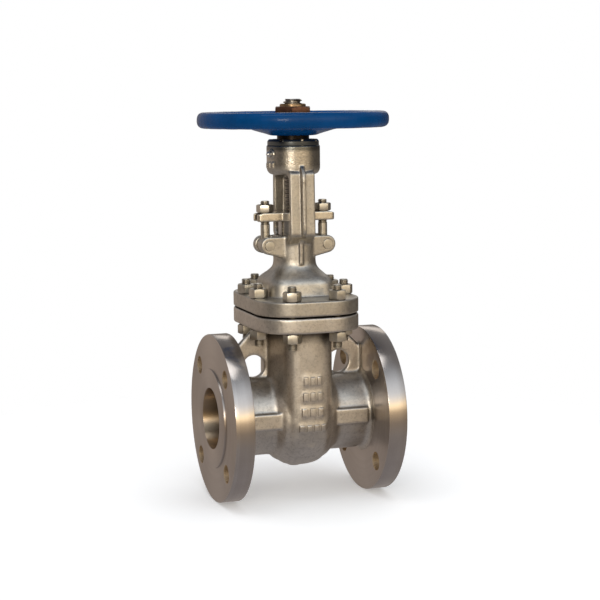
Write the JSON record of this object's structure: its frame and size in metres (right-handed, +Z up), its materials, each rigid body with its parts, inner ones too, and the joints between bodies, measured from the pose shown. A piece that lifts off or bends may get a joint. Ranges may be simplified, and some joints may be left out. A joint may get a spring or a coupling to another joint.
{
  "type": "gate valve",
  "caption": "Flanged gate valve with bolted bonnet, outside yoke, rising threaded stem, swing-bolt gland and blue handwheel, shown closed.",
  "frame": {"origin": "where the pipe axis crosses the stem axis, half way between the two raised faces", "axes": "+X along the pipe axis towards the outlet flange, +Z up along the stem towards the handwheel, +Y to the back of the valve"},
  "size_m": [0.202, 0.202, 0.423],
  "materials": {
    "cast_steel": "blasted and pickled stainless casting, matt with a fine grain; machined on the flange faces and rims",
    "machined_steel": "turned stainless steel",
    "gland_steel": "cast stainless plate, satin",
    "bolt_steel": "bright stainless fasteners",
    "bronze": "aluminium bronze, turned and a little dull",
    "brown_steel": "dark brown oxidised nut",
    "nipple": "zinc plated",
    "wheel_paint": "glossy blue enamel on a casting",
    "graphite": "graphite"
  },
  "bodies": {
    "valve": {"body": "cast_steel", "bonnet": "cast_steel", "seat_ring_left": "machined_steel", "seat_ring_right": "machined_steel", "backseat_bushing": "machined_steel", "packing_washer": "machined_steel", "gland_follower": "machined_steel", "yoke_nut": "machined_steel", "gland_flange": "gland_steel", "bonnet_studs": "bolt_steel", "bonnet_nuts_upper": "bolt_steel", "bonnet_nuts_lower": "bolt_steel", "clevis_pin_left": "bolt_steel", "clevis_pin_right": "bolt_steel", "yoke_set_screw": "bolt_steel", "grease_nipple": "nipple", "body_gasket": "graphite", "packing_ring_1": "graphite", "packing_ring_2": "graphite", "packing_ring_3": "graphite"},
    "wheel": {"handwheel": "wheel_paint", "stem_nut": "bronze", "handwheel_nut": "brown_steel", "wheel_key": "bolt_steel"},
    "stem": {"stem": "machined_steel", "wedge": "machined_steel"},
    "eyebolt_left": {"eyebolt_left": "bolt_steel", "gland_nut_left": "bolt_steel"},
    "eyebolt_right": {"eyebolt_right": "bolt_steel", "gland_nut_right": "bolt_steel"}
  },
  "joints": [
    {"name": "wheel_spin", "type": "hinge", "parent": "valve", "child": "wheel", "pos_m": [0, 0, 0.3], "axis": [0, 0, 1], "range_deg": [0, 6200]},
    {"name": "stem_lift", "type": "slide", "parent": "valve", "child": "stem", "axis": [0, 0, 1], "range_m": [0, 0.069]},
    {"name": "eyebolt_left_swing", "type": "hinge", "parent": "valve", "child": "eyebolt_left", "pos_m": [-0.032, 0, 0.1815], "axis": [0, -1, 0], "range_deg": [0, 95]},
    {"name": "eyebolt_right_swing", "type": "hinge", "parent": "valve", "child": "eyebolt_right", "pos_m": [0.032, 0, 0.1815], "axis": [0, 1, 0], "range_deg": [0, 95]}
  ],
  "couplings": [
    {"joint": "stem_lift", "follows": "wheel_spin", "m_per_rad": 0.00063662}
  ]
}
